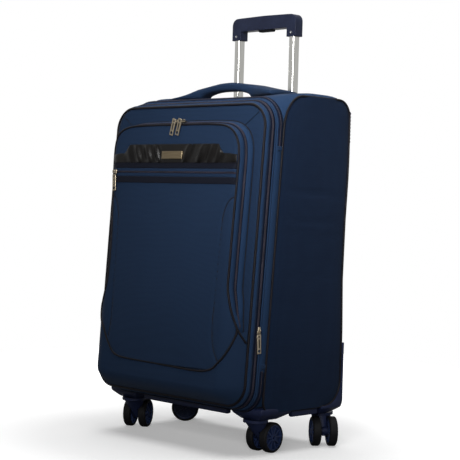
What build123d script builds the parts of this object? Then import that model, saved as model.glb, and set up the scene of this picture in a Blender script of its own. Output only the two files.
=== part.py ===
from build123d import *
import os
from math import sin, cos, tan, radians, pi

os.makedirs("parts", exist_ok=True)

# Softside upright suitcase with an expanding front, telescopic handle and four twin-wheel casters.
# Frame: +Z up, front of the case towards -Y, +X to the right when facing the front; floor at z = 0.

# ---------------------------------------------------------------- driving dimensions (mm)
SHIFT_Y = 34.4                  # moves the working Y origin to the middle of the whole depth
HALF_W = 210.0                  # half width of the main body
LID_HALF_W = 207.5              # half width of the lid face
BODY_TOP, BODY_BOT = 668.0, 79.0
LID_TOP, LID_BOT = 648.4, 92.1
BACK_Y = 105.0                  # outer face of the back
TILT = 3.95                     # the front leans back by this many degrees
FACE_Y, FACE_Z = -139.9, 370.25  # centre of the lid face
BAND = 47.0                     # depth from the lid face to the side panel seam
CORNER_R = 45.0                 # outline corners of the lid
BACK_CORNER_R = 14.0            # corners of the body behind the band
WALL = 3.0                      # foam-backed fabric wall
EXP_SEAM = 30.6                 # depth of the expansion seam behind the lid face
LID_SEAM = 20.35                # depth of the main zip's meeting line
HINGE_HALF = 234.0              # half length of the fabric hinge on the left edge
HINGE_X = -212.0
POCKET_D = 31.0                 # how far the front pocket stands out of the lid
TUBE_X, TUBE_Y = 76.0, 90.0     # telescopic handle tube centres
GRIP_BOT, GRIP_UNDER, GRIP_TOP = 797.0, 815.0, 843.0
CASTER_X, CASTER_FRONT, CASTER_REAR = 172.0, -89.0, 94.0
WHEEL_R, WHEEL_W, TRAIL, TRACK = 28.5, 16.0, 28.0, 16.0
HUB_R, AXLE_R, PIN_R = 24.0, 3.0, 4.0
GUARD_BOT = 64.0                # underside of the corner guards
CASTERS = {                     # name: (x, y, direction the wheels trail in, degrees)
    "fl": (-CASTER_X, CASTER_FRONT, 119.0),
    "fr": (CASTER_X, CASTER_FRONT, 95.4),
    "rr": (CASTER_X, CASTER_REAR, -36.9),
    "rl": (-CASTER_X, CASTER_REAR, 225.0),
}

S, C = sin(radians(TILT)), cos(radians(TILT))
FRONT = Plane(origin=(0, FACE_Y, FACE_Z), x_dir=(1, 0, 0), z_dir=(0, -C, S))


# ---------------------------------------------------------------- helpers
def write(name, shape):
    export_step(Pos(0, SHIFT_Y, 0) * shape, f"parts/{name}.step")


def block(x0, x1, y0, y1, z0, z1):
    """Box between two corners."""
    return Pos((x0 + x1) / 2, (y0 + y1) / 2, (z0 + z1) / 2) * Box(x1 - x0, y1 - y0, z1 - z0)


def up(z, n):
    """Height along the leaning front plane of a point at height z, n behind the lid face."""
    return (z - FACE_Z + n * S) / C


def leaning(x0, x1, z0, z1, n0, n1):
    """Box square to the front plane: between heights z0 and z1 and depths n0 and n1."""
    w0, w1 = up(z0, (n0 + n1) / 2), up(z1, (n0 + n1) / 2)
    return FRONT * Pos((x0 + x1) / 2, (w0 + w1) / 2, -(n0 + n1) / 2) * Box(x1 - x0, w1 - w0, n1 - n0)


def on_face(n, w=0.0, x=0.0):
    """Placement on the front plane at depth n behind the lid face."""
    return FRONT * Pos(x, w, -n)


def outline(n, r, inset=0.0):
    """Rounded outline of the case at depth n behind the lid face."""
    f = min(n, BAND) / BAND
    half = LID_HALF_W + (HALF_W - LID_HALF_W) * f - inset
    w1 = up(LID_TOP + (BODY_TOP - LID_TOP) * f, n) - inset
    w0 = up(LID_BOT + (BODY_BOT - LID_BOT) * f, n) + inset
    return on_face(n, (w0 + w1) / 2) * RectangleRounded(2 * half, w1 - w0, r - inset)


def ring(n0, n1, t, inset=0.0):
    """Hoop of wall thickness t that follows the case outline between two depths."""
    outer = loft([outline(n0, CORNER_R, inset), outline(n1, CORNER_R, inset)], ruled=True)
    inner = loft([outline(n0 - 1, CORNER_R, inset + t), outline(n1 + 1, CORNER_R, inset + t)], ruled=True)
    return outer - inner


def cord(path, r):
    """Round cord along a wire."""
    return sweep(Plane(origin=path @ 0, z_dir=path % 0) * Circle(r), path=path)


def section_at(y, inset):
    """Upright outline of the body at a given Y."""
    at = Plane(origin=(0, y, (BODY_TOP + BODY_BOT) / 2), x_dir=(1, 0, 0), z_dir=(0, -1, 0))
    return at * RectangleRounded(2 * (HALF_W - inset), BODY_TOP - BODY_BOT - 2 * inset, BACK_CORNER_R - inset)


def body(inset, front, back):
    """Solid body from the expansion seam to the back."""
    return loft([outline(front, CORNER_R, inset), outline(BAND, 40, inset), section_at(-20, inset),
                 section_at(back, inset)], ruled=True)


def mirrored(shape):
    """The shape with its mirror image across the middle plane."""
    return Compound([shape, mirror(shape, about=Plane.YZ)])


# ---------------------------------------------------------------- main body
outer_body = body(0, EXP_SEAM + 0.2, BACK_Y)
shell = outer_body - body(WALL, EXP_SEAM - 8, BACK_Y - WALL)

# side panels: bounded by a piped seam with rounded corners
seam_y = [FACE_Y + up(z, BAND) * S + BAND * C for z in (BODY_BOT + 4, BODY_TOP - 4)]
side_pts = [(seam_y[0], BODY_BOT + 4), (BACK_Y - 1, BODY_BOT + 4), (BACK_Y - 1, BODY_TOP - 4), (seam_y[1], BODY_TOP - 4)]
side_wire = Polyline(*[(0, y, z) for y, z in side_pts], close=True)
side_face = make_face(side_wire)
for (y, z), r in zip(side_pts, (16, 44, 30, 47)):
    corner = side_face.vertices().sort_by_distance((0, y, z))[0]
    side_face = fillet(corner, r)
side_prism = extrude(side_face, 240, both=True)
side_right = shell & side_prism & block(196, 240, -300, 300, 0, 800)
side_left = shell & side_prism & block(-240, -196, -300, 300, 0, 800)
rest = shell - side_prism + (shell & side_prism & block(-196, 196, -300, 300, 0, 800))
back_panel = rest & block(-300, 300, BACK_Y - WALL, 300, 0, 800)
rest = rest - block(-300, 300, BACK_Y - WALL, 300, 0, 800)
band_zone = on_face(BAND + 5) * Pos(0, 0, 500) * Box(1000, 2000, 1000)
front_gusset = rest & band_zone
rest = rest - band_zone
top_panel = rest & block(-300, 300, -300, 300, 370, 800)
bottom_board = rest & block(-300, 300, -300, 300, 0, 370)
for x in (-TUBE_X, TUBE_X):
    top_panel = top_panel - Pos(x, TUBE_Y, BODY_TOP) * Box(18.4, 22.4, 20)
for x, y, _ in CASTERS.values():
    bottom_board = bottom_board - Pos(x, y, BODY_BOT) * Cylinder(PIN_R + 0.1, 20)

write("side_right", side_right)
write("side_left", side_left)
write("back_panel", back_panel)
write("front_gusset", front_gusset)
write("top_panel", top_panel)
write("bottom_board", bottom_board)

side_cord = cord(Pos(HALF_W + 0.6, 0, 0) * side_face.wires()[0], 2.0) - outer_body
cord_room = cord(Pos(HALF_W + 0.6, 0, 0) * side_face.wires()[0], 2.3)
write("side_piping", mirrored(side_cord))

# ---------------------------------------------------------------- plastic guards, rails and casters' seats
def guard(y0, y1, seat_y, x0=118.0):
    """Cup under a bottom corner, tapering to the round caster seat."""
    top = Plane(origin=((x0 + 213) / 2, (y0 + y1) / 2, BODY_BOT + 8)) * RectangleRounded(213 - x0, y1 - y0, 12)
    seat = Plane(origin=(CASTER_X, seat_y, GUARD_BOT)) * RectangleRounded(50, 50, 20)
    cup = loft([top, seat], ruled=True)
    return cup - Pos(CASTER_X, seat_y, 70) * Cylinder(12, 60)


lid_sweep = leaning(-240, 240, BODY_BOT + 1, 700, -60, EXP_SEAM + 0.3)
front_guard = guard(-146, -28, CASTER_FRONT) - outer_body - lid_sweep - cord_room
rear_guard = guard(45, 114, CASTER_REAR) + (block(186, 213, 52, 114, 80, 196) - side_prism) - outer_body - cord_room
rear_guard = rear_guard - Pos(CASTER_X, CASTER_REAR, 70) * Cylinder(12, 60)
guards = [g for part in (front_guard, rear_guard) for g in (part, mirror(part, about=Plane.YZ))]
write("corner_guards", Compound([s for g in guards for s in [max(g.solids(), key=lambda q: q.volume)]]))

rails = [block(198, 206, -27, 44, 66, BODY_BOT - 0.1), block(-206, -198, -27, 44, 66, BODY_BOT - 0.1),
         block(-117, 117, -110, -100, 68, BODY_BOT - 0.1), block(-117, 117, 92, 102, 68, BODY_BOT - 0.1)]
write("base_rails", Compound([fillet(r.edges().group_by(Axis.Z)[0], 3) for r in rails]))

write("caster_housings", Compound([
    Pos(x, y, (GUARD_BOT + BODY_BOT) / 2) * (Cylinder(12, BODY_BOT - GUARD_BOT - 0.1) - Cylinder(PIN_R, 40))
    for x, y, _ in CASTERS.values()]))
write("swivel_pins", Compound([
    Pos(x, y, 66.5) * Cylinder(PIN_R, 32.6) + Pos(x, y, 83.4) * Cylinder(7, 2)
    for x, y, _ in CASTERS.values()]))

ribs = block(-206, 206, BACK_Y, BACK_Y + 8, 583, 648)
for i in range(9):
    ribs = ribs + Pos(0, BACK_Y + 8, 588.5 + 6.8 * i) * Rot(0, 90, 0) * Cylinder(3.0, 408) \
        + block(-204, 204, BACK_Y + 7, BACK_Y + 12, 586 + 6.8 * i, 591 + 6.8 * i)
write("ribbed_guard", ribs)

# ---------------------------------------------------------------- expansion zip, front frame
expansion_gusset = ring(23.5, 41.0, 1.0, 5.4)
write("expansion_gusset", expansion_gusset)
hinge_zone = leaning(-230, -200, FACE_Z - HINGE_HALF, FACE_Z + HINGE_HALF, 5, 40)
hinge_zone_wide = leaning(-230, -200, FACE_Z - HINGE_HALF - 0.4, FACE_Z + HINGE_HALF + 0.4, 5, 40)
frame_band = ring(26.05, EXP_SEAM - 0.2, 4.6) + ring(LID_SEAM + 0.35, EXP_SEAM - 0.2, 2.4, 2.3)
write("frame_band", frame_band)
write("main_tape_frame", ring(LID_SEAM + 0.15, 26, 1.6, 0.5) + ring(LID_SEAM + 0.15, 22, 1.8, -0.4) - hinge_zone_wide)

# ---------------------------------------------------------------- lid
write("main_tape_lid", ring(14.05, LID_SEAM - 0.15, 1.6, 0.5) + ring(18.7, LID_SEAM - 0.15, 1.8, -0.4) - hinge_zone_wide)
write("hinge_strip", ring(14.05, 26, 1.6, 0.5) & hinge_zone)
write("lid_gusset", ring(4.4, 14, 2.4, 0.2) + ring(4.4, LID_SEAM - 0.15, 1.4, 2.2))
write("lid_panel", extrude(outline(3.4, CORNER_R, 5.4), 3))
lid_cord = cord(outline(2.0, CORNER_R, 2.2).wires()[0], 2.3)
write("lid_piping", lid_cord)

# ---------------------------------------------------------------- front pocket
BASE = [(183, 617), (183, 300), (202, 240), (199, 130), (180, 108)]
FACE = [(173, 605), (173, 292), (190, 232), (168, 172), (150, 160)]


def pocket_section(t):
    """Outline of the pocket between the lid (t = 0) and its front face (t = 1)."""
    n = -POCKET_D * t - 0.1
    half = [(bx + (fx - bx) * t, up(bz + (fz - bz) * t, n)) for (bx, bz), (fx, fz) in zip(BASE, FACE)]
    pts = half + [(-x, w) for x, w in reversed(half)]
    sk = make_face(Polyline(*pts, close=True))
    for i, (x, w) in enumerate(pts):
        corner = sk.vertices().sort_by_distance((x, w, 0))[0]
        sk = fillet(corner, 30 if i in (0, 9) else 12)
    return on_face(n) * sk


pocket = loft([pocket_section(0), pocket_section(1)], ruled=True)
write("pocket_body", pocket)
write("pocket_piping", cord(pocket_section(1).wires()[0], 2.2) - pocket)


def pocket_hoop(t0, t1, out):
    """Strip standing out of the pocket's side wall between two depths."""
    fat = loft([offset(pocket_section(t0), out), offset(pocket_section(t1), out)], ruled=True)
    return fat - pocket - block(-300, 300, -400, 100, 0, 246)


write("pocket_zip", pocket_hoop(0.36, 0.66, 1.6))

SKIN = -POCKET_D - 0.1          # depth of the pocket's front face


def strap(x0, x1, z0, z1, t, lift=0.0):
    """Flat strip on the pocket's face."""
    return leaning(x0, x1, z0, z1, SKIN - lift - t, SKIN - lift)


write("ribbons", Compound([strap(-165, 165, 526.5, 536.5, 1.2), strap(-165, 165, 498, 510.5, 1.2)]))
write("upper_zip", strap(-160, 160, 511, 526, 0.7) + strap(-160, 160, 517, 521, 1.6))
pu_half = [(0, 572.5), (119, 572.5), (127, 560), (140, 554), (166, 553), (168, 545), (150, 537.2), (0, 537.2)]
pu_pts = [(x, up(z, SKIN)) for x, z in pu_half] + [(-x, up(z, SKIN)) for x, z in reversed(pu_half[1:-1])]
write("pu_strip", extrude(on_face(SKIN) * make_face(Polyline(*pu_pts, close=True)), 3.0))
plate = leaning(-30, 30, 543.7, 559.3, SKIN - 5.4, SKIN - 3.0)
write("nameplate", chamfer(plate.faces().sort_by(Axis.Y)[0].edges(), 1.2))


# ---------------------------------------------------------------- zip sliders and pull tabs
def slider():
    """Zip slider lying on the XY plane, nose towards +Y, with a bridge for its pull."""
    hull = Pos(0, 0, 2) * Box(9, 13, 4)
    hull = fillet(hull.edges().filter_by(Axis.Z), 2.5)
    return fillet(hull.faces().sort_by(Axis.Z)[-1].edges(), 1.2)


def pull(length):
    """Flat pull tab hanging down -Y from its hinge end at the origin, with a hole near each end."""
    tab = Pos(0, -length / 2, 0.8) * Box(9, length, 1.6)
    tab = fillet(tab.edges().filter_by(Axis.Z), 2.0)
    tab = tab - Pos(0, -4.5, 0) * Cylinder(1.8, 10) - Pos(0, -length + 5.5, 0) * Cylinder(2.4, 10)
    return tab - Pos(0, -length / 2, 0) * Box(1.6, length - 22, 10)


SIDE_X = HALF_W + 0.2
MAIN_Z = 234.0
main_w = up(MAIN_Z, LID_SEAM)
side_plane = Plane(origin=(FRONT * Pos(SIDE_X, main_w, -LID_SEAM)).position, x_dir=(0, C, -S), z_dir=(1, 0, 0))
write("main_slider", side_plane * slider())
write("main_pull", side_plane * Pos(0, -7.6, 1.6) * Rot(0, 0, 13) * pull(46))

left_plane = Plane(origin=(FRONT * Pos(-SIDE_X, up(430, EXP_SEAM), -EXP_SEAM)).position, x_dir=(0, -C, S), z_dir=(-1, 0, 0))
write("expansion_slider", Compound([left_plane * slider(), left_plane * Pos(0, -7.0, 1.6) * pull(40)]))

zip_top = up(BASE[0][1] - 6.1, -16) + 4.2
for tag, x, lean in (("left", -4.5, -9.0), ("right", 11.5, -9.0)):
    seat = Plane(origin=(FRONT * Pos(x, zip_top, 16.0)).position, x_dir=(0, C, -S), z_dir=(0, S, C))
    write(f"pocket_slider_{tag}", seat * slider())
    hang = FRONT * Pos(x, zip_top + 4.4, 35.2) * Rot(4, 0, 0) * Rot(0, 0, lean)
    arm = FRONT * Pos(x, zip_top + 2.6, 29.6) * Box(4, 1.6, 13.4)
    write(f"pocket_pull_{tag}", hang * pull(38) + arm)

seat = FRONT * Pos(-162, up(519, SKIN), -SKIN + 1.8)
write("upper_slider", seat * Rot(0, 0, 90) * slider())
write("upper_pull", seat * Pos(0, -5.4, 2.0) * Rot(0, 0, 6) * pull(38))

# ---------------------------------------------------------------- seam tabs and carry handle
tabs = []
for z in (566.0, 166.0):
    for sx in (-1, 1):
        tabs.append(FRONT * Pos(sx * (HALF_W + 0.85), up(z, 38.8), -38.8) * Box(1.5, 9, 11.6))
write("fabric_tabs", Compound(tabs))

HANDLE_Y = -10.0
HANDLE_END, GAP_END, HANDLE_TOP, GAP_TOP = 142, 78, 699, 687.5
arch = make_face([ThreePointArc((-HANDLE_END, 0, BODY_TOP), (0, 0, HANDLE_TOP), (HANDLE_END, 0, BODY_TOP)),
                  Line((HANDLE_END, 0, BODY_TOP), (GAP_END, 0, BODY_TOP)),
                  ThreePointArc((GAP_END, 0, BODY_TOP), (0, 0, GAP_TOP), (-GAP_END, 0, BODY_TOP)),
                  Line((-GAP_END, 0, BODY_TOP), (-HANDLE_END, 0, BODY_TOP))])
plan = make_face(Polyline(*[(x, HANDLE_Y + y, 0) for x, y in (
    (-142, -36), (-70, -17), (70, -17), (142, -36), (142, 36), (70, 17), (-70, 17), (-142, 36))], close=True))
handle = extrude(arch, 80, both=True) & extrude(plan, 900)
write("carry_handle", handle)
write("handle_plates", mirrored(block(96, 132, HANDLE_Y - 26, HANDLE_Y + 26, BODY_TOP - WALL - 2.1, BODY_TOP - WALL - 0.1)))


# ---------------------------------------------------------------- telescopic handle
def tube(a, b, wall, z0, z1):
    """Rounded rectangular tube standing at the origin."""
    ring_ = RectangleRounded(a, b, 4) - RectangleRounded(a - 2 * wall, b - 2 * wall, 3)
    return Pos(0, 0, z0) * extrude(ring_, z1 - z0)


def pair(shape):
    return Compound([Pos(-TUBE_X, TUBE_Y, 0) * shape, Pos(TUBE_X, TUBE_Y, 0) * shape])


FLOOR_IN = BODY_BOT + WALL
write("outer_tubes", pair(tube(19.6, 23.6, 1.0, FLOOR_IN + 0.1, BODY_TOP - WALL - 0.1)))
write("middle_tubes", pair(tube(17, 21, 1.0, 104, 664)))
write("inner_tubes", pair(tube(14.4, 18.4, 1.0, 226, GRIP_BOT + 13)))
tray = block(-104, 104, 75.8, BACK_Y - WALL - 0.1, FLOOR_IN + 0.1, BODY_TOP - WALL - 0.1)
tray = tray - block(-102, 102, 77.8, 140, 0, 800)
write("trolley_tray", tray)
bezel = fillet(block(-98, 98, 77, 105, BODY_TOP, BODY_TOP + 7).edges().filter_by(Axis.Z), 10)
bezel = fillet(bezel.faces().sort_by(Axis.Z)[-1].edges(), 3)
for x in (-TUBE_X, TUBE_X):
    bezel = bezel - Pos(x, TUBE_Y, BODY_TOP) * Box(17.6, 21.6, 30)
write("top_bezel", bezel)

half = [(88, GRIP_BOT), (88, 838), (0, GRIP_TOP), (-88, 838), (-88, GRIP_BOT), (-64, GRIP_BOT), (-64, 812), (0, GRIP_UNDER),
        (64, 812), (64, GRIP_BOT)]
grip_face = make_face(Polyline(*[(x, 0, z) for x, z in half], close=True))
for x, z, r in ((88, 838, 14), (-88, 838, 14), (64, 812, 8), (-64, 812, 8)):
    grip_face = fillet(grip_face.vertices().sort_by_distance((x, 0, z))[0], r)
grip = Pos(0, TUBE_Y, 0) * extrude(grip_face, 10.5, both=True)
BUTTON = (36.0, 11.0)
for x in (-TUBE_X, TUBE_X):
    grip = grip - Pos(x, TUBE_Y, GRIP_BOT) * Box(14.5, 18.5, 26.4)
    grip = grip - Pos(x, TUBE_Y - 10.5, GRIP_BOT + 8) * Rot(90, 0, 0) * Cylinder(2.6, 2.4)
grip = grip - block(-BUTTON[0] / 2 - 0.4, BUTTON[0] / 2 + 0.4, TUBE_Y - BUTTON[1] / 2 - 0.4, TUBE_Y + BUTTON[1] / 2 + 0.4,
                    GRIP_UNDER - 10, GRIP_UNDER + 11)
write("grip", grip)
button = block(-BUTTON[0] / 2, BUTTON[0] / 2, TUBE_Y - BUTTON[1] / 2, TUBE_Y + BUTTON[1] / 2, GRIP_UNDER - 4, GRIP_UNDER + 6)
write("grip_button", fillet(button.faces().sort_by(Axis.Z)[0].edges(), 2))
write("grip_screws", pair(Pos(0, -9.9, GRIP_BOT + 8) * Rot(90, 0, 0) * Cylinder(2.5, 1.0)))

# ---------------------------------------------------------------- packing straps inside
strap_pts = []
for z in (250.0, 480.0):
    strap_pts.append(block(-HALF_W + WALL + 0.2, -4, 70, 71.4, z - 12, z + 12))
    strap_pts.append(block(4, HALF_W - WALL - 0.2, 70, 71.4, z - 12, z + 12))
    strap_pts.append(fillet(block(-16, 16, 62, 69.8, z - 15, z + 15).edges().filter_by(Axis.Y), 4))
write("packing_straps", Compound(strap_pts))


# ---------------------------------------------------------------- twin-wheel swivel casters
def wheel_zone(r, half):
    return Pos(TRAIL, 0, WHEEL_R) * Rot(90, 0, 0) * Cylinder(r, 2 * half)


disc = Pos(0, 0, 60.9) * Cylinder(23.5, 5.2)
neck = loft([Pos(0, 0, 58.4) * Circle(20), Pos(TRAIL - 3, 0, 20) * Ellipse(10, 6.4)], ruled=True)
fork = disc + neck - (wheel_zone(WHEEL_R + 1.2, 40) - wheel_zone(WHEEL_R + 2, TRACK - WHEEL_W / 2 - 0.8))
fork = fork + Pos(TRAIL, 0, WHEEL_R) * Rot(90, 0, 0) * Cylinder(8, 2 * (TRACK - WHEEL_W / 2 - 0.8))
fork = fork - Pos(0, 0, 58) * Cylinder(PIN_R + 0.05, 24) - wheel_zone(AXLE_R + 0.05, 40)

tyre = Pos(0, 0, 0) * (Cylinder(WHEEL_R, WHEEL_W) - Cylinder(HUB_R, WHEEL_W))
tyre = fillet(tyre.edges().filter_by(GeomType.CIRCLE).filter_by(lambda e: e.radius > HUB_R + 1), 4)
hub = Cylinder(HUB_R, 13) - Cylinder(HUB_R - 2.5, 13) + Cylinder(HUB_R - 1, 3) + Cylinder(6, 13)
for i in range(10):
    hub = hub + Rot(0, 0, 36 * i) * Pos(HUB_R / 2, 0, 0) * Box(HUB_R - 3, 2.6, 11)
stand = Pos(TRAIL, 0, WHEEL_R) * Rot(90, 0, 0)
tyres = [stand * Pos(0, 0, s * TRACK) * tyre for s in (-1, 1)]
hub = hub - Cylinder(AXLE_R, 20)
axle = wheel_zone(AXLE_R - 0.02, TRACK)
hubs = [stand * Pos(0, 0, s * TRACK) * hub for s in (-1, 1)] + [axle]
for name, (x, y, way) in CASTERS.items():
    at = Location((x, y, 0), (0, 0, way))
    write(f"caster_{name}_fork", at * fork)
    write(f"caster_{name}_hubs", Compound([at * h for h in hubs]))
    write(f"caster_{name}_tyres", Compound([at * t for t in tyres]))
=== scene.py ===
"""Softside upright suitcase: the fabric, trim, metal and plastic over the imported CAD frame."""
import bpy
import bmesh
import numpy as np
from math import cos, exp, hypot, pi, radians, sin, sqrt
from mathutils import Matrix, Vector, noise


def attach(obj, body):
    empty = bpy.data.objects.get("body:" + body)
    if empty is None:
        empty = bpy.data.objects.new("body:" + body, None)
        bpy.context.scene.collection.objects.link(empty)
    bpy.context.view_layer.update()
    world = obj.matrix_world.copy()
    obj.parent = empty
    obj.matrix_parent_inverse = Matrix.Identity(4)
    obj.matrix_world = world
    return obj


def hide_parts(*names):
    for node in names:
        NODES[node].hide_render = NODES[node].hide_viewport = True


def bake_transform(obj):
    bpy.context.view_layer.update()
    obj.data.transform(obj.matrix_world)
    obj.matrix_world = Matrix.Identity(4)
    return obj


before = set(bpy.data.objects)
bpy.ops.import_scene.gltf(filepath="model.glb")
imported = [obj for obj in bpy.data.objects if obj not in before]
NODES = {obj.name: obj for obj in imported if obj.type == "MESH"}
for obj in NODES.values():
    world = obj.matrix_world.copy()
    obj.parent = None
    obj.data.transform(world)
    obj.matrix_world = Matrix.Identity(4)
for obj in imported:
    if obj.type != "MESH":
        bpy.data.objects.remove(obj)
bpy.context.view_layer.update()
bpy.ops.object.select_all(action="DESELECT")

# ------------------------------------------------ driving dimensions of the case, mm
MM = 0.001
SHIFT_Y = 34.4                   # working Y to the row frame
HALF_W, LID_HALF_W = 210.0, 207.5
BODY_TOP, BODY_BOT = 668.0, 79.0
LID_TOP, LID_BOT = 648.4, 92.1
BACK_Y = 105.0
BAND_TOP = 664.5                 # top of the front band, where the side panels begin
FACE_Y, FACE_Z, TILT = -139.9, 370.25, 3.95
BAND, CORNER_R = 47.0, 45.0      # depth of the front band, outline corners
LID_EDGE = 3.4                   # how far inside the lid's edge its border panel is sewn
LID_R = CORNER_R - LID_EDGE
EXP_SEAM, LID_SEAM = 30.6, 20.35
POCKET_D = 31.0
SKIN = -POCKET_D - 0.1           # depth of the pocket's front
TUBE_X, TUBE_Y = 76.0, 90.0      # tubes of the telescopic handle
HANDLE_Y = -10.0                 # middle of the carry handle
GRIP_HALF, GRIP_LEG = 88.0, 64.0   # half length of the grip, where its legs begin
GRIP_LOW, GRIP_HIGH = 815.0, 841.0
CASTER_X, CASTER_FRONT, CASTER_REAR = 172.0, -89.0, 94.0
S, C = sin(radians(TILT)), cos(radians(TILT))


# ------------------------------------------------ places
def row(p):
    """Working millimetres to the row frame in metres."""
    return Vector((p[0], p[1] + SHIFT_Y, p[2])) * MM


def front(x, w, n):
    """Point on the leaning front: x across, w up the slope, n behind the lid's face."""
    return (x, FACE_Y + w * S + n * C, FACE_Z + w * C - n * S)


def up(z, n):
    """Height up the slope of a point at height z, n behind the lid's face."""
    return (z - FACE_Z + n * S) / C


def height_of(w):
    """Height of a point w up the slope of the lid's face."""
    return w * C + FACE_Z


def smooth(t):
    """Eases from 0 to 1 as t does."""
    t = min(max(t, 0.0), 1.0)
    return t * t * (3 - 2 * t)


def grain(x, y, z=0.0):
    """Smooth random value from -1 to 1, always the same at a place."""
    return noise.noise(Vector((x, y, z)))


# ------------------------------------------------ materials
def srgb(text):
    """Hex colour as written on screen to linear values."""
    parts = [int(text[i:i + 2], 16) / 255 for i in (1, 3, 5)]
    return (*[c / 12.92 if c <= 0.04045 else ((c + 0.055) / 1.055) ** 2.4 for c in parts], 1.0)


def add(tree, kind, inputs=None, **settings):
    """Adds a node with its settings; inputs holds values and links by socket name or number."""
    node = tree.nodes.new(kind)
    for key, value in settings.items():
        setattr(node, key, value)
    for key, value in (inputs or {}).items():
        if isinstance(value, bpy.types.NodeSocket):
            tree.links.new(value, node.inputs[key])
        else:
            node.inputs[key].default_value = value
    return node


YARN = 0.9                       # mm; the yarns lie about 0.5 mm apart, too fine to show, so drawn coarser


def wave_scale(mm):
    """Scale of a band pattern that repeats every so many millimetres."""
    return 2 * pi / (20 * mm * MM)


def surface(name, **values):
    """New material: its node tree, its shader and its Object coordinates."""
    mat = bpy.data.materials.new(name)
    mat.use_nodes = True
    tree = mat.node_tree
    shader = tree.nodes["Principled BSDF"]
    for key, value in values.items():
        shader.inputs[key.replace("_", " ").title().replace("Ior", "IOR")].default_value = value
    place = add(tree, "ShaderNodeTexCoord").outputs["Object"]
    return mat, tree, shader, place


def dress(tree, shader, tone, dark, light, pattern, strength, depth):
    """Gives the shader a colour between two tones and the relief of a pattern, depth mm deep."""
    colour = add(tree, "ShaderNodeMix", {0: tone, 6: srgb(dark), 7: srgb(light)}, data_type="RGBA").outputs[2]
    bump = add(tree, "ShaderNodeBump", {"Height": pattern, "Strength": strength,
                                        "Distance": depth * MM}).outputs[0]
    tree.links.new(colour, shader.inputs["Base Color"])
    tree.links.new(bump, shader.inputs["Normal"])


def woven(name, dark, light, slub=0.12, rough=0.8, sheen=0.03):
    """Plain-woven cloth: two tones of yarn that cross, with slubs along the weft and a faint sheen."""
    mat, tree, shader, place = surface(name, roughness=rough, sheen_weight=sheen, sheen_roughness=0.45,
                                       specular_ior_level=0.06)
    yarns = [add(tree, "ShaderNodeTexWave", {"Vector": place, "Scale": wave_scale(YARN)},
                 bands_direction=way).outputs["Fac"] for way in "XYZ"]
    two = add(tree, "ShaderNodeMath", {0: yarns[0], 1: yarns[1]}, operation="ADD").outputs[0]
    three = add(tree, "ShaderNodeMath", {0: two, 1: yarns[2]}, operation="ADD").outputs[0]
    cloth = add(tree, "ShaderNodeMapRange", {"Value": three, "From Min": 0.4, "From Max": 2.6}).outputs[0]
    drawn = add(tree, "ShaderNodeMapping", {"Vector": place, "Scale": (14, 14, 420)}).outputs[0]
    slubs = add(tree, "ShaderNodeTexNoise", {"Vector": drawn, "Scale": 1.0, "Detail": 3.0}).outputs[0]
    broad = add(tree, "ShaderNodeTexNoise", {"Vector": place, "Scale": 11.0, "Detail": 2.0}).outputs[0]
    both = add(tree, "ShaderNodeMath", {0: slubs, 1: broad}, operation="ADD").outputs[0]
    tone = add(tree, "ShaderNodeMapRange", {"Value": both, "From Min": 0.7, "From Max": 1.3,
                                            "To Min": -slub / 2, "To Max": slub / 2}).outputs[0]
    half = add(tree, "ShaderNodeMath", {0: cloth, 1: 0.2}, operation="MULTIPLY").outputs[0]
    lift = add(tree, "ShaderNodeMath", {0: half, 1: 0.4}, operation="ADD").outputs[0]
    mix = add(tree, "ShaderNodeMath", {0: lift, 1: tone}, operation="ADD", use_clamp=True).outputs[0]
    dress(tree, shader, mix, dark, light, three, 0.06, 0.1)
    return mat


def grained(name, dark, light, size, rough, relief, **values):
    """Moulded or coated surface with a fine pebbled grain of about size mm."""
    mat, tree, shader, place = surface(name, roughness=rough, **values)
    fine = 1 / (size * MM)
    cells = add(tree, "ShaderNodeTexNoise", {"Vector": place, "Scale": fine, "Detail": 2.0}).outputs[0]
    broad = add(tree, "ShaderNodeTexNoise", {"Vector": place, "Scale": 25.0, "Detail": 3.0}).outputs[0]
    tone = add(tree, "ShaderNodeMapRange", {"Value": broad, "From Min": 0.3, "From Max": 0.7}).outputs[0]
    dull = add(tree, "ShaderNodeMapRange", {"Value": broad, "From Min": 0.3, "From Max": 0.7,
                                            "To Min": rough - 0.05, "To Max": rough + 0.05}).outputs[0]
    tree.links.new(dull, shader.inputs["Roughness"])
    dress(tree, shader, tone, dark, light, cells, relief, 0.2)
    return mat


def drawn_metal(name, dark, light, rough, way, line=0.8):
    """Metal with the fine lines of drawing or brushing along one way, which stretch its highlights."""
    mat, tree, shader, place = surface(name, metallic=1.0, roughness=rough)
    fine = 1 / (line * MM)
    stretch = [fine if axis not in way else fine / 60 for axis in "xyz"]
    along = add(tree, "ShaderNodeMapping", {"Vector": place, "Scale": stretch}).outputs[0]
    lines = add(tree, "ShaderNodeTexNoise", {"Vector": along, "Scale": 1.0, "Detail": 2.0}).outputs[0]
    tone = add(tree, "ShaderNodeMapRange", {"Value": lines, "From Min": 0.3, "From Max": 0.7}).outputs[0]
    dress(tree, shader, tone, dark, light, lines, 0.08, 0.05)
    return mat


# Polyester cloth, plain-woven and dyed navy: matt, with a fine cross of lighter yarns.
POLYESTER = woven("woven_polyester_navy", "#162439", "#22344e")
# The gussets are the same cloth cut across, painted lighter than the front's cloth: a painted highlight for
# the light that the gusset bands catch.
GUSSET_CLOTH_LIT = woven("woven_polyester_gusset_lit", "#17273f", "#263d5c", slub=0.08)
# The side panels' cloth has more slubs, which show as faint level streaks, and is painted darker than the
# front's cloth: painted shade for the sides and back, which face away from the lamps.
SIDE_CLOTH_SHADED = woven("woven_polyester_side_shaded", "#0f1a2d", "#19283f", slub=0.22)
# Lining is thin plain-woven nylon, darker and smoother.
LINING = woven("woven_nylon_lining", "#14161c", "#20242d", rough=0.6)
# Zip tape is a tight twill that takes almost no light; at this size it is drawn as a plain weave.
TAPE = woven("twill_zip_tape", "#0d1220", "#161e30", rough=0.85, sheen=0.0)
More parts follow.
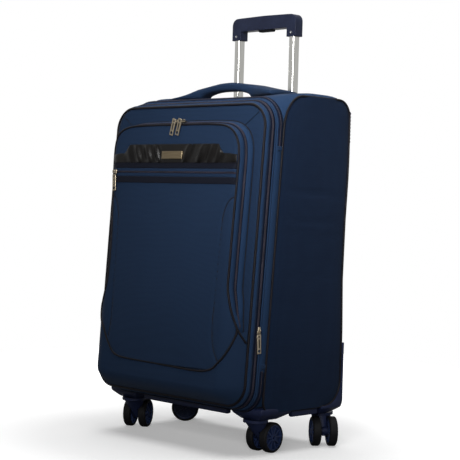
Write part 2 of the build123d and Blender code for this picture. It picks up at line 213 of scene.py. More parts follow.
# Ribbed ribbon, near black; the ribs along it are in its shape.
RIBBON = woven("grosgrain_ribbon", "#0d0f18", "#191c27", rough=0.7)
# Piping is cord covered in soft vinyl, near black with a warm soft highlight.
PIPING = grained("vinyl_piping", "#0a0a0f", "#151319", 0.8, 0.46, 0.2, specular_ior_level=0.12)
# Nylon coil is smooth and a little glossy.
COIL = grained("nylon_coil", "#1f1d27", "#302d39", 1.0, 0.42, 0.1, specular_ior_level=0.15)
# Polyurethane leather, glossy black with a fine pressed grain.
LEATHER = grained("polyurethane_leather_black", "#070606", "#0e0c0b", 1.4, 0.3, 0.25, specular_ior_level=0.17)
# Polypropylene mouldings in navy, satin from a spark-eroded mould.
MOULDING = grained("polypropylene_navy", "#151c37", "#1f2846", 0.9, 0.46, 0.2, specular_ior_level=0.18)
# Nylon wheel hubs, moulded in a brighter navy.
HUB_PLASTIC = grained("nylon_hub_navy", "#1e2b4c", "#2b3a62", 0.9, 0.42, 0.15, specular_ior_level=0.25)
# The grip is ABS from a polished mould, darker and smoother.
GRIP_PLASTIC = grained("abs_navy_satin", "#151a2c", "#1e2438", 1.2, 0.4, 0.12, specular_ior_level=0.18)
# Black nylon, for the tray over the tubes and the push button.
BLACK_NYLON = grained("moulded_nylon_black", "#0b0b0d", "#131316", 0.9, 0.5, 0.2, specular_ior_level=0.15)
# Thermoplastic rubber tyres, dull black.
TYRE = grained("thermoplastic_rubber_black", "#101012", "#1b1b1d", 0.7, 0.6, 0.3, specular_ior_level=0.12)
# Thread is bonded nylon; its near-black colour is partly painted shade, for the shade in the seams that it
# sinks into.
THREAD_AND_SEAM_SHADE = grained("bonded_nylon_thread_and_seam_shade", "#080c16", "#0d1321", 0.6, 0.7, 0.1, specular_ior_level=0.2)
# Aluminium tube, drawn and polished along its length.
ALUMINIUM = drawn_metal("polished_aluminium_tube", "#c4c4c0", "#e4e3de", 0.16, "z")
# Zinc pulls are plated in a pale warm bronze.
BRONZE = drawn_metal("plated_zinc_bronze", "#857b69", "#b3a792", 0.3, "z")
# The plate is zinc with a brushed bronze face.
PLATE = drawn_metal("brushed_bronze_plate", "#6a5e49", "#887a63", 0.33, "x", line=0.6)
# Steel is zinc plated, a dull blue grey: pins, plates and screws.
STEEL = drawn_metal("zinc_plated_steel", "#8a8c8f", "#b5b7ba", 0.33, "z")


# ------------------------------------------------ mesh helpers
def solid(name, verts, faces, material, inside=None):
    """Object in the row frame from working points and faces, shaded smooth."""
    mesh = bpy.data.meshes.new(name)
    mesh.from_pydata([row(v) for v in verts], [], faces)
    mesh.materials.append(material)
    if inside:
        mesh.materials.append(inside)
    mesh.polygons.foreach_set("use_smooth", [True] * len(mesh.polygons))
    obj = bpy.data.objects.new(name, mesh)
    bpy.context.collection.objects.link(obj)
    return obj


def loft(name, rows, material, close_rows=False, close_cols=False, caps=False, inside=None):
    """Skin through rows of points, which may close either way round."""
    n, m = len(rows), len(rows[0])
    verts = [p for line in rows for p in line]
    faces = []
    for i in range(n if close_rows else n - 1):
        for j in range(m if close_cols else m - 1):
            k, l = (i + 1) % n, (j + 1) % m
            faces.append((i * m + j, i * m + l, k * m + l, k * m + j))
    if caps and close_rows:
        faces += [tuple(i * m for i in range(n)), tuple(i * m + m - 1 for i in range(n))]
    if caps and close_cols:
        faces += [tuple(range(m)), tuple((n - 1) * m + j for j in range(m))]
    obj = solid(name, verts, faces, material, inside)
    if (close_rows and close_cols) or caps:
        outward(obj)
    return obj


def outward(obj):
    """Turns the faces of a closed mesh outwards."""
    bm = bmesh.new()
    bm.from_mesh(obj.data)
    bmesh.ops.recalc_face_normals(bm, faces=bm.faces)
    bm.to_mesh(obj.data)
    bm.free()


def facing(obj, way):
    """Turns an open skin so that it faces a way, given in the row frame."""
    total = Vector()
    for p in obj.data.polygons:
        total += p.normal * p.area
    if total.dot(Vector(way)) < 0:
        obj.data.flip_normals()
    return obj


def facing_out(obj, centre):
    """Turns a skin so that it faces away from a working point."""
    middle = row(centre)
    total = sum((p.center - middle).dot(p.normal) * p.area for p in obj.data.polygons)
    if total < 0:
        obj.data.flip_normals()
    return obj


def only(*objects):
    """Selects these pieces and nothing else; the first is the active one."""
    bpy.ops.object.select_all(action="DESELECT")
    for obj in objects:
        obj.select_set(True)
    bpy.context.view_layer.objects.active = objects[0]


def apply(obj, kind, **settings):
    """Adds a modifier with its settings and applies it."""
    only(obj)
    mod = obj.modifiers.new(kind.title(), kind)
    for key, value in settings.items():
        setattr(mod, key, value)
    bpy.ops.object.modifier_apply(modifier=mod.name)
    return obj


def thicken(obj, mm, lined=False):
    """Gives an open skin its wall, inwards from the face."""
    return apply(obj, "SOLIDIFY", thickness=mm * MM, offset=-1.0, use_even_offset=False,
                 material_offset=1 if lined else 0)


def tube(name, path, r, material, closed=False, sides=8, teeth=0.0):
    """Round cord along a path of working points; teeth swell every third point, as on a zip coil."""
    pts = [Vector(p) for p in path]
    count = len(pts)
    rows, normal = [], None
    for i, p in enumerate(pts):
        before = pts[i - 1] if closed or i else pts[0]
        after = pts[(i + 1) % count] if closed or i < count - 1 else pts[-1]
        along = (after - before).normalized()
        if normal is None:
            normal = along.orthogonal()
        normal = (normal - along * normal.dot(along)).normalized()
        side = along.cross(normal)
        radius = r + (teeth if i % 3 else -teeth)
        rows.append([p + (normal * cos(2 * pi * k / sides) + side * sin(2 * pi * k / sides)) * radius
                     for k in range(sides)])
    return loft(name, rows, material, close_rows=closed, close_cols=True, caps=not closed)


def coil(name, path, r, teeth=0.16):
    """Half of a zip's coil along a path of closely spaced points."""
    return tube(name, path, r, COIL, sides=6, teeth=teeth)


def join(name, parts):
    """Joins pieces into one object."""
    only(*parts)
    bpy.ops.object.join()
    parts[0].name = name
    parts[0].data.name = name
    return parts[0]


def copy_to(source, name, matrix):
    """Copy of a piece with its own mesh, moved by a matrix in the row frame."""
    obj = source.copy()
    obj.data = source.data.copy()
    obj.name = obj.data.name = name
    obj.data.transform(matrix)
    if matrix.determinant() < 0:
        obj.data.flip_normals()
    bpy.context.collection.objects.link(obj)
    return obj


def belongs(obj, body, nodes=()):
    """The piece rides on a body and stands for CAD nodes, which it hides."""
    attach(obj, body)
    if nodes:
        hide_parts(*nodes)


def new_piece(name, material):
    """The primitive just added, with its place moved into its mesh."""
    obj = bpy.context.object
    obj.data.transform(obj.matrix_basis)
    obj.matrix_basis = Matrix.Identity(4)
    obj.name = obj.data.name = name
    obj.data.materials.append(material)
    return obj


def to_row_origin(obj):
    """Takes a model made about the working origin to the origin of the row frame."""
    obj.data.transform(Matrix.Translation(-row((0, 0, 0))))
    return obj


def cube(name, x0, x1, y0, y1, z0, z1, material):
    """Cube primitive between two corners, in working mm."""
    bpy.ops.object.select_all(action="DESELECT")
    centre = row(((x0 + x1) / 2, (y0 + y1) / 2, (z0 + z1) / 2))
    size = ((x1 - x0) * MM, (y1 - y0) * MM, (z1 - z0) * MM)
    bpy.ops.mesh.primitive_cube_add(size=1, location=centre, scale=size)
    return new_piece(name, material)


def cylinder(name, centre, r, length, material, turn=(0, 0, 0), sides=32):
    """Cylinder primitive in working mm, along Z before its turn in degrees."""
    bpy.ops.object.select_all(action="DESELECT")
    bpy.ops.mesh.primitive_cylinder_add(vertices=sides, radius=r * MM, depth=length * MM,
                                        location=row(centre), rotation=[radians(a) for a in turn])
    return new_piece(name, material)


def working(place):
    """A place in a mesh, back in working mm."""
    return place / MM - Vector((0, SHIFT_Y, 0))


def pick(obj, test):
    """Goes into edit mode on a piece with just the faces selected that pass a test of centre and normal."""
    only(obj)
    bpy.ops.object.mode_set(mode="EDIT")
    bpy.ops.mesh.select_mode(type="FACE")
    bpy.ops.mesh.select_all(action="DESELECT")
    bm = bmesh.from_edit_mesh(obj.data)
    for face in bm.faces:
        face.select = test(working(face.calc_center_median()), face.normal)
    bm.select_flush_mode()
    bmesh.update_edit_mesh(obj.data)


def done():
    """Leaves edit mode."""
    bpy.ops.object.mode_set(mode="OBJECT")


def shade(obj, angle):
    """Shades a piece smooth, apart from its edges sharper than an angle in degrees."""
    only(obj)
    bpy.ops.object.shade_smooth_by_angle(angle=radians(angle))
    return obj


def round_all(obj, width, segments, angle=30):
    """Rounds the edges sharper than an angle in degrees."""
    return apply(obj, "BEVEL", width=width * MM, segments=segments, limit_method="ANGLE",
                 angle_limit=radians(angle))


def soften(obj, width, segments=3, angle=30):
    """Rounds the edges and shades the piece smooth between them."""
    round_all(obj, width, segments, angle)
    return shade(obj, 40)


def round_some(obj, test, r, segments):
    """Rounds only the edges whose two ends pass a test of their place in working mm."""
    bm = bmesh.new()
    bm.from_mesh(obj.data)
    edges = [e for e in bm.edges if all(test(working(v.co)) for v in e.verts)]
    bmesh.ops.bevel(bm, geom=edges, offset=r * MM, segments=segments, profile=0.5, affect="EDGES")
    bm.to_mesh(obj.data)
    bm.free()


def cut(obj, *tools, how="DIFFERENCE"):
    """Takes other pieces away from a piece, or adds them to it, and deletes them."""
    for tool in tools:
        apply(obj, "BOOLEAN", operation=how, object=tool, solver="EXACT")
        bpy.data.objects.remove(tool)
    return obj


# ------------------------------------------------ outlines
def size_at(n):
    """Half width, low edge and high edge of the case's outline at a depth behind the lid's face."""
    f = min(n, BAND) / BAND
    return (LID_HALF_W + (HALF_W - LID_HALF_W) * f, up(LID_BOT + (BODY_BOT - LID_BOT) * f, n),
            up(LID_TOP + (BAND_TOP - LID_TOP) * f, n))


def counts(step):
    """Points on half a level side, an upright side and a corner of the outline, of about these lengths."""
    return tuple(max(2, round(length / step)) for length in (162, 466, 70))


def rounded(half, low, high, r, step, r_top=None):
    """Points and outward normals round a rounded rectangle, anticlockwise from the bottom middle."""
    flat, tall, arc = counts(step)
    q = r_top or r
    ring = []

    def run(start, end, count, normal):
        """Points along a straight side."""
        for k in range(count):
            t = k / count
            ring.append((start[0] + (end[0] - start[0]) * t, start[1] + (end[1] - start[1]) * t, *normal))

    def turn(cx, cw, start, r):
        """Points round a corner, from an angle."""
        for k in range(arc):
            a = start + pi / 2 * k / arc
            ring.append((cx + r * cos(a), cw + r * sin(a), cos(a), sin(a)))

    run((0, low), (half - r, low), flat, (0, -1))
    turn(half - r, low + r, -pi / 2, r)
    run((half, low + r), (half, high - q), tall, (1, 0))
    turn(half - q, high - q, 0, q)
    run((half - q, high), (q - half, high), 2 * flat, (0, 1))
    turn(q - half, high - q, pi / 2, q)
    run((-half, high - q), (-half, low + r), tall, (-1, 0))
    turn(r - half, low + r, pi, r)
    run((r - half, low), (0, low), flat, (0, -1))
    return ring


def outline(n, inset, step, pucker=0.0):
    """Path of working points round the case at a depth, with puckers of the cloth along it."""
    half, low, high = size_at(n)
    ring = rounded(half - inset, low + inset, high - inset, CORNER_R - inset, step,
                   CORNER_R + 15 * min(n, BAND) / BAND - inset)
    path = []
    for x, w, u, v in ring:
        d = pucker * (grain(x * 0.05, w * 0.05, n * 0.04) + 0.5 * grain(x * 0.16, w * 0.16, n * 0.1))
        path.append(front(x + u * d, w + v * d, n))
    return path


COIL_STEP = 0.9                  # spacing of the points along a coil, a third of its pitch


def left_side(step):
    """First and last place of the straight left side in an outline."""
    flat, tall, arc = counts(step)
    start = 3 * flat + tall + 3 * arc
    return start, start + tall


def hoop(name, section, material, step=5.0, pucker=0.5, part="all"):
    """Band round the outline; section lists (depth, inset) round its cross-section.
    part: all, hinge (the straight left side) or zip (all but that side)."""
    rows = [outline(n, inset, step, pucker) for n, inset in section]
    first, last = left_side(step)
    if part == "hinge":
        rows = [r[first:last + 1] for r in rows]
    if part == "zip":
        rows = [r[last:] + r[:first + 1] for r in rows]
    return loft(name, rows, material, close_rows=True, close_cols=part == "all", caps=part != "all")


def main_coil(name, n):
    """Half of the main zip's coil round the outline, which leaves out the straight left side."""
    path = outline(n, 0.5, COIL_STEP)
    first, last = left_side(COIL_STEP)
    return coil(name, path[last:] + path[:first + 1], 1.0)


def equal(rows):
    """Cuts rows of points to the shortest, from both ends in turn."""
    shortest = min(len(r) for r in rows)
    return [r[(len(r) - shortest) // 2:(len(r) - shortest) // 2 + shortest] for r in rows]


def line_from_left(points):
    """Turns an opened ring so that its gap is at its ends."""
    gaps = [(Vector(points[i]) - Vector(points[i - 1])).length for i in range(len(points))]
    k = gaps.index(max(gaps))
    return points[k:] + points[:k]


# ------------------------------------------------ lid: border panel, gusset, piping, main zip
# right half of the seam of the border panel: (w, x)
LID_RING = sorted((w, x) for x, w, u, v in rounded(
    LID_HALF_W - LID_EDGE, up(LID_BOT, 0) + LID_EDGE, up(LID_TOP, 0) - LID_EDGE, LID_R, 3.0) if x > 0)
LID_W, LID_X = zip(*LID_RING)


def lid_reach(w):
    """Half width of the border panel at a height up the slope."""
    return float(np.interp(w, LID_W, LID_X))


def lid_face():
    """Border panel of the lid, slightly padded, and its lining."""
    rows = []
    lines, across = 110, 60
    for i in range(lines + 1):
        t = i / lines
        w = LID_W[0] + (LID_W[-1] - LID_W[0]) * (t - 0.09 * sin(2 * pi * t) / (2 * pi) * 6)
        reach = lid_reach(w)
        line = []
        for j in range(across + 1):
            x = reach * (2 * j / across - 1)
            edge = min(reach - abs(x), w - LID_W[0], LID_W[-1] - w)
            pad = 1.5 * (1 - exp(-edge / 7)) + 0.5 * grain(x * 0.02, w * 0.02)
            line.append(front(x, w, 1.9 - pad))
        rows.append(line)
    obj = facing(loft("lid_border_panel", rows, POLYESTER, inside=LINING), (0, -1, 0))
    thicken(obj, 2.6, lined=True)
    belongs(obj, "lid", ["lid_panel"])


def lid_bands():
    """Piping, gusset, tapes and coils of the lid and of the frame that it zips to."""
    circle = [(cos(2 * pi * k / 10), sin(2 * pi * k / 10)) for k in range(10)]
    cord = hoop("lid_piping_cord", [(2.0 + 2.4 * a, 1.9 - 2.4 * b) for a, b in circle], PIPING, 4.0, 0.3)
    belongs(cord, "lid", ["lid_piping"])
    section = [(4.2, 1.6), (5.4, 0.2), (7.2, -0.7), (9.6, -1.0), (12.0, -0.5), (13.6, 0.5), (14.2, 1.8),
               (20.1, 2.4), (20.1, 3.6), (4.2, 3.6)]
    gusset = hoop("lid_gusset_cloth", section, GUSSET_CLOTH_LIT, 5.0, 0.6)
    belongs(gusset, "lid", ["lid_gusset"])
    section = [(14.2, 0.3), (14.2, 1.9), (20.1, 2.3), (20.1, 1.0), (17.0, 0.5)]
    tape = hoop("zip_tape_lid", section, TAPE, 5.0, 0.2, "zip")
    belongs(tape, "lid", ["main_tape_lid"])
    belongs(main_coil("zip_coil_lid", 19.2), "lid")
    section = [(20.6, 1.0), (20.6, 2.3), (26.0, 1.9), (26.0, 0.3), (23.5, 0.4)]
    tape = hoop("zip_tape_frame", section, TAPE, 5.0, 0.2, "zip")
    belongs(tape, "front_frame", ["main_tape_frame"])
    belongs(main_coil("zip_coil_frame", 21.5), "front_frame")
    section = [(26.1, 1.0), (26.8, -0.3), (28.2, -0.8), (29.6, -0.3), (30.3, 0.9), (30.3, 4.8), (20.7, 4.8),
               (20.7, 2.6), (26.1, 2.4)]
    band = hoop("frame_band_cloth", section, GUSSET_CLOTH_LIT, 5.0, 0.4)
    belongs(band, "front_frame", ["frame_band"])
    section = [(13.6, 0.6), (14.2, -0.2), (20.2, -0.7), (26.4, -0.2), (26.9, 0.6), (20.2, 0.3)]
    strip = hoop("lid_hinge_strip", section, GUSSET_CLOTH_LIT, 5.0, 0.3, "hinge")
    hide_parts("hinge_strip")
    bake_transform(strip)
    section = [(23.4, 5.4), (41.0, 5.2), (41.0, 6.0), (23.4, 6.2)]
    gusset = hoop("expansion_gusset_cloth", section, TAPE, 6.0, 0.0)
    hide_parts("expansion_gusset")
    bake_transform(gusset)


# ------------------------------------------------ front pocket
POCKET_TOP = 617.0               # height of the pocket's seam on the lid
SKIRT = (46.0, 30.0)             # how far from the sides and the bottom the front reaches its full depth
LEAN = 10.5                      # how much further out the pocket's walls stand at the lid than at its front
SEWN_ON = 0.3                    # depth of the cloth that the pocket is sewn to
# halves of the pocket's front edge, each from the top middle down to the lid's edge: (x, z)
RIGHT_EDGE = [(0, 609), (60, 609), (110, 608), (141, 604), (160, 593), (170, 575), (173, 550), (173, 500),
              (172, 420), (171.5, 340), (171.5, 312), (175, 291), (180, 270), (184.5, 256), (191, 237)]
LEFT_EDGE = [(0, 609), (-60, 609), (-112, 608), (-143, 603), (-162, 592), (-172, 574), (-174.5, 550),
             (-170, 500), (-164, 440), (-160, 385), (-160.5, 330), (-163, 300), (-169, 280), (-176, 263),
             (-183, 248)]
# sewn seam that closes the front at the bottom, from the right to the left: (x, z)
SMILE = [(190, 227), (184, 208), (174.5, 188), (161.5, 172), (146, 160.5), (116, 154.5), (54, 155),
         (-11, 157), (-78, 158), (-112, 160), (-130, 167), (-147, 186), (-162, 210), (-179, 231)]
SMILE_ENDS = (206, 236), (-206, 250)   # where that seam's line runs on to at the lid's edges: (x, z)


def curve_through(points):
    """Smooth line through points, in twelve parts between each two."""
    parts = 12
    pts = [Vector(p) for p in points]
    pts = [pts[0] * 2 - pts[1]] + pts + [pts[-1] * 2 - pts[-2]]
    line = []
    for a, b, c, d in zip(pts, pts[1:], pts[2:], pts[3:]):
        for k in range(parts):
            t = k / parts
            line.append(0.5 * (2 * b + (c - a) * t + (2 * a - 5 * b + 4 * c - d) * t ** 2
                               + (3 * b - a - 3 * c + d) * t ** 3))
    return line + [pts[-2]]


def evenly(points, count):
    """Points at an even spacing along an open line."""
    along = np.concatenate([[0], np.cumsum([(b - a).length for a, b in zip(points, points[1:])])])
    places = np.linspace(0, along[-1], count)
    return [(float(x), float(y)) for x, y in zip(np.interp(places, along, [p.x for p in points]),
                                                 np.interp(places, along, [p.y for p in points]))]


def stand_off(x, w):
    """How far the padded front stands out of the lid, falling to nothing at the lid's edge."""
    share = 1.0
    for gap, width in ((lid_reach(w) - abs(x), SKIRT[0]), (w - LID_W[0], SKIRT[1])):
        share *= 1 - (1 - min(max(gap, 0.0) / width, 1.0)) ** 2
    return POCKET_D * share


def pocket_ring(t, out=0.0, step=4.0):
    """Closed outline (x, w, u, v) of the pocket between the lid (t = 0) and its front (t = 1)."""
    spacing = step / 4.0
    right, left, low = [evenly(curve_through(line), round(count / spacing))
                        for line, count in ((RIGHT_EDGE, 150), (LEFT_EDGE, 150), (SMILE, 110))]
    ring = [Vector((x, up(z, SKIN))) for x, z in right + low + left[:0:-1]]
    result = []
    for i, p in enumerate(ring):
        along = (ring[(i + 1) % len(ring)] - ring[i - 1]).normalized()
        normal = Vector((-along.y, along.x))
        lean = LEAN * smooth((height_of(p.y) - 225) / 60)
        q = p + normal * (lean * (1 - t) + out)
        result.append((q.x, q.y, normal.x, normal.y))
    return result


# both sides of the padded front, from the bottom up: all w, then all x
RIGHT_SIDE = list(zip(*sorted((w, x) for x, w, u, v in pocket_ring(1) if x > 0)))
LEFT_SIDE = list(zip(*sorted((w, x) for x, w, u, v in pocket_ring(1) if x < 0)))
LOWEST = max(RIGHT_SIDE[0][0], LEFT_SIDE[0][0]) + 0.2
HIGHEST = min(RIGHT_SIDE[0][-1], LEFT_SIDE[0][-1]) - 0.05


def reaches(w):
    """Left and right end of the padded front at a height up the slope."""
    return [float(np.interp(w, *side)) for side in (LEFT_SIDE, RIGHT_SIDE)]


# sewn seam down the right of the face, mirrored on the left: (x, z)
FACE_SEAM = [(174, 478), (159, 467), (149, 446), (146, 414), (143, 286), (142, 240), (146, 204), (158, 180),
             (168, 171)]
SEAM_LINE = [(p.x, up(p.y, SKIN)) for p in curve_through(FACE_SEAM)]


def seam_distance(x, w):
    """How far a point of the face is from the nearer sewn seam."""
    return min(hypot(abs(x) - a, w - b) for a, b in SEAM_LINE)


def face_depth(x, w, seams=True):
    """Depth of the padded front of the pocket, which swells forward of its edge."""
    left, right = reaches(w)
    edge = max(min(x - left, right - x, HIGHEST - w), 0.0)
    rise = 1 - exp(-edge / 8)
    belly = 3.5 * exp(-((height_of(w) - 265) / 95) ** 2) * max(cos(pi * x / 360), 0.0)
    swell = 1.0 + belly + 0.9 * grain(x * 0.012, w * 0.009, 3.0) + 0.25 * grain(x * 0.03, w * 0.04, 7.0)
    depth = SEWN_ON - stand_off(x, w) - rise * swell
    if seams and abs(x) > 105:
        depth += 2.6 * exp(-(seam_distance(x, w) / 2.6) ** 2)
    return depth


def pocket_face():
    """Padded face of the front pocket."""
    rows = []
    lines, across = 150, 112
    for i in range(lines + 1):
        t = i / lines
        w = LOWEST + (HIGHEST - LOWEST) * (t - 0.08 * sin(2 * pi * t))
        left, right = reaches(w)
        rows.append([front(x, w, face_depth(x, w)) for x in np.linspace(left, right, across + 1)])
    face = facing(loft("pocket_face_padded", rows, POLYESTER), (0, -1, 0))
    thicken(face, 5.0)
    belongs(face, "lid", ["pocket_body"])


def pocket_walls():
    """Side walls of the pocket, from the lid to the front, with a channel for the tape of the zip."""
    inner = pocket_ring(1)
    rows = []
    for k in range(17):
        t = k / 16
        line = []
        for (x, w, u, v), (a, b, _, _) in zip(pocket_ring(t), inner):
            z = height_of(b)
            zipped = smooth((z - 245) / 30)
            belly = 1.5 * sin(pi * t) * (1 - zipped) * smooth((z - 225) / 25)
            if t < 0.36:
                strips = 1.3 * sin(pi * t / 0.36)
            else:
                strips = 1.3 * sin(pi * (t - 0.66) / 0.34) if t > 0.66 else -0.8
            d = belly + zipped * strips + 0.4 * grain(x * 0.05, w * 0.05, t * 2) * sin(pi * t)
            line.append(front(x + u * d, w + v * d, SEWN_ON - stand_off(a, b) * t))
        rows.append(line)
    wall = facing_out(loft("pocket_side_walls", rows, GUSSET_CLOTH_LIT, close_cols=True), front(0, 0, -15))
    thicken(wall, 2.0)
    belongs(wall, "lid")


def around(t, out, step=4.0):
    """Line round the pocket's side walls, from the lid (t = 0) to its front (t = 1), out mm off them."""
    return [front(x, w, SEWN_ON - stand_off(a, b) * t) for (x, w, u, v), (a, b, _, _)
            in zip(pocket_ring(t, out, step), pocket_ring(1, 0, step))]


def zipped_part(path, lowest=236):
    """The part of a line round the pocket that the zip follows, above a height."""
    return line_from_left([p for p in path if p[2] > lowest])


def pocket_zip():
    """Piping round the pocket, the seam at its base and its zip."""
    cord = tube("pocket_piping_cord", around(1, 0.5), 2.2, PIPING, closed=True, sides=10)
    belongs(cord, "lid", ["pocket_piping"])
    for side, tail in ((1, [(188, 246), (192, 235), (198, 222), (203.5, 211)]),
                       (-1, [(-180, 256), (-186, 243), (-194, 228), (-203.5, 213)])):
        path = [front(x, up(z, -10), -stand_off(x, up(z, -10)) - 0.4) for x, z in
                evenly(curve_through(tail), 14)]
        belongs(tube(f"pocket_piping_tail_{side + 1}", path, 2.1, PIPING, sides=10), "lid")
    hem = tube("pocket_base_seam", zipped_part(around(0.0, 0.8), 215), 1.2, THREAD_AND_SEAM_SHADE, sides=6)
    belongs(hem, "lid")
    section = [(0.40, 0.1), (0.43, 0.6), (0.60, 0.6), (0.63, 0.1), (0.60, -0.8), (0.43, -0.8)]
    rows = equal([zipped_part(around(t, out)) for t, out in section])
    tape = loft("pocket_zip_tape", rows, TAPE, close_rows=True, caps=True)
    belongs(tape, "lid", ["pocket_zip"])
    for k, t in enumerate((0.485, 0.545)):
        path = zipped_part(around(t, 0.9, COIL_STEP), 238)
        belongs(coil(f"pocket_zip_coil_{k}", path, 0.95), "lid")


def pocket_low_front():
    """Lower front of the pocket, from the curved seam under its face down to the lid's edge."""
    line = evenly(curve_through([SMILE_ENDS[0]] + SMILE + [SMILE_ENDS[1]]), 160)
    smile_x, smile_w = zip(*sorted((x, up(z, SKIN)) for x, z in line))
    rim = LID_HALF_W - LID_EDGE
    columns = []
    for i in range(141):
        t = i / 140
        x = -rim + 2 * rim * (t - 0.1 * sin(4 * pi * t) / 2)
        into = max(abs(x) - (rim - CORNER_R + LID_EDGE), 0.0) / LID_R
        low = LID_W[0] + LID_R * (1 - sqrt(max(0.0, 1 - min(into, 1.0) ** 2)))
        high = float(np.interp(x, smile_x, smile_w)) - 0.6
        line = []
        for k in range(41):
            w = low + (high - low) * (1 - cos(pi * k / 40)) / 2
            inner_edge = 1 - exp(-max(high - w, 0.0) / 5)
            out = stand_off(x, w)
            puff = (0.6 + 0.8 * grain(x * 0.012, w * 0.012, 11.0)) * inner_edge * min(1.0, out / 20)
            line.append(front(x, w, 0.6 - out - puff))
        columns.append(line)
    low_front = facing(loft("pocket_low_front", columns, POLYESTER), (0, -1, 0))
    thicken(low_front, 2.0)
    belongs(low_front, "lid")


def face_seams():
    """Sewn seams down both sides of the pocket's face."""
    for side in (1, -1):
        # The near-black thread in these wide seams is partly painted shade: the dark line of each seam's
        # groove.
        path = [front(side * x, w, face_depth(side * x, w) - 0.1) for x, w in SEAM_LINE[2:-2]]
        belongs(tube(f"pocket_face_seam_{side + 1}", path, 1.4, THREAD_AND_SEAM_SHADE, sides=6), "lid")


def on_pocket(x, z, out):
    """Working point out mm in front of the pocket's padded face at x and height z."""
    w = up(z, SKIN)
    return front(x, w, face_depth(x, w, False) - out)


def strip_span(z, count):
    """Places across the pocket's front from edge to edge at a height."""
    left, right = reaches(up(z, SKIN))
    return np.linspace(left + 1.5, right - 1.5, count)


def across_pocket(name, section, material):
    """Band across the pocket; section lists (height, out) round its cross-section."""
    rows = [[on_pocket(x, z, out) for x in strip_span(z, 60)] for z, out in section]
    return loft(name, rows, material, close_rows=True, caps=True)


def ribbons_and_upper_zip():
    """Two ribbed ribbons across the pocket and the zip between them."""
    ribs = 5
    for name, z0, z1 in (("ribbon_upper", 526.5, 536.5), ("ribbon_lower", 498.0, 510.5)):
        ribbed = [(z0 + (z1 - z0) * k / (ribs * 2), 1.9 if k % 2 else 0.7) for k in range(ribs * 2 + 1)]
        piece = across_pocket(name, [(z0, -0.6)] + ribbed + [(z1, -0.6)], RIBBON)
        belongs(piece, "lid", ["ribbons"] if name == "ribbon_upper" else ())
    section = [(510.8, 0.1), (511.5, 0.7), (517.5, 0.6), (518.4, 0.2), (519.6, 0.2), (520.5, 0.6),
               (526.0, 0.7), (526.4, 0.1), (526.4, -0.6), (510.8, -0.6)]
    belongs(across_pocket("upper_zip_tape", section, POLYESTER), "lid", ["upper_zip"])
    for k, z in enumerate((518.1, 519.9)):
        path = [on_pocket(x, z, 1.0) for x in strip_span(z, 370)]
        belongs(coil(f"upper_zip_coil_{k}", path, 0.9, 0.15), "lid")


def gathered_strip():
    """Gathered strip: flat in the middle under the plate, pleated towards its shoulders."""
    # pleats: x, width, height
    folds = [(-122, 9, 2.6), (-97, 8, 4.6), (-66, 7.5, 4.3), (-41, 5, 3.6), (41, 7.5, 3.8), (80, 8.5, 4.8),
             (104, 7, 3.4), (126, 9, 3.2)]
    rows = []
    lines, across = 26, 230
    for i in range(lines + 1):
        t = i / lines
        left, right = reaches(up(555 - 15 * (1 - t), SKIN))
        line = []
        for j in range(across + 1):
            x = left + 1.6 + (right - left - 3.2) * j / across
            a = abs(x)
            top = 572.5 - 17.5 * smooth((a - 121) / 20) - 2.0 * smooth((a - 150) / 20)
            low = 537.0 + 1.5 * smooth((a - 150) / 20)
            z = low + (top - low) * t
            lean = 0.4 * (z - 553) * (-1 if x < 0 else 1)
            swell = sin(pi * min(max(t, 0.02), 0.98)) ** 0.4
            h = 0.0
            for x0, width, height in folds:
                d = (x - x0 - lean) / width
                valley = (x - x0 - lean - width * 1.5) / width
                h += height * exp(-d * d) - 0.5 * height * exp(-valley ** 2)
            h += 0.5 * grain(x * 0.09, z * 0.05, 5.0)
            if a < 33:
                h *= smooth((a - 26) / 7)
            line.append(on_pocket(x, z, 0.5 + swell * (1.7 + h)))
        rows.append(line)
    strip = facing(loft("gathered_strip", rows, LEATHER), (0, -1, 0))
    thicken(strip, 1.4)
    belongs(strip, "lid", ["pu_strip"])
    binding_z = 537.2
    path = [on_pocket(x, binding_z, 1.2) for x in strip_span(binding_z, 60)]
    belongs(tube("strip_binding", path, 0.9, PIPING, sides=6), "lid")


def bare_plate():
    """Bevelled metal plate on the flat of the strip, left bare."""
    depth = SKIN - 5.4
    plate = cube("bare_plate", -26, 31, -7.8, 7.8, -1.7, 1.7, PLATE)
    pick(plate, lambda c, n: n.z > 0.9)
    bpy.ops.mesh.inset(thickness=1.6 * MM, depth=0)
    bpy.ops.transform.translate(value=(0, 0, 0.9 * MM))
    done()
    soften(plate, 0.35, 2)
    place = Matrix.Translation(row(front(0, up(551.5, depth), depth + 1.7)))
    to_row_origin(plate)
    turn = Matrix(((1, 0, 0), (0, S, -C), (0, C, S))).to_4x4()
    plate.data.transform(place @ turn)
    belongs(plate, "lid", ["nameplate"])


def border_seams():
    """Mitre seams at the lid's upper corners."""
    outer, inner = (193, 635), (153, 606)
    for side in (1, -1):
        ends = [(side * (outer[0] + (inner[0] - outer[0]) * t), outer[1] + (inner[1] - outer[1]) * t)
                for t in (0.02, 0.3, 0.6, 0.97)]
        path = [front(x, up(z, 0.4), 0.15) for x, z in ends]
        belongs(tube(f"mitre_seam_{side + 1}", path, 0.6, THREAD_AND_SEAM_SHADE, sides=6), "lid")


# ------------------------------------------------ body of the case
def back_swell(y, z):
    """How far the soft back stands out of the plain box at a height, growing towards the back."""
    shape = np.interp(z, (80, 150, 224, 321, 437, 514, 600, 668), (0, 1, 0.5, -3, 0, 4.5, 7, 4))
    return smooth((y - 20) / 85) * float(shape)


def crown(x, y):
    """How far the top of the case stands above the plain box, most near its soft sides."""
    middle = float(np.interp(y, (-75, -40, -10, 20), (-3.5, -0.5, 2.5, 4.0)))
    sides = float(np.interp(y, (-75, -46, -20, 20, 60, 90, 104), (-4.0, 0.0, 6.0, 9.0, 9.0, 6.0, 0.0)))
    return middle + (sides - middle) * smooth((abs(x) - 70) / 110)


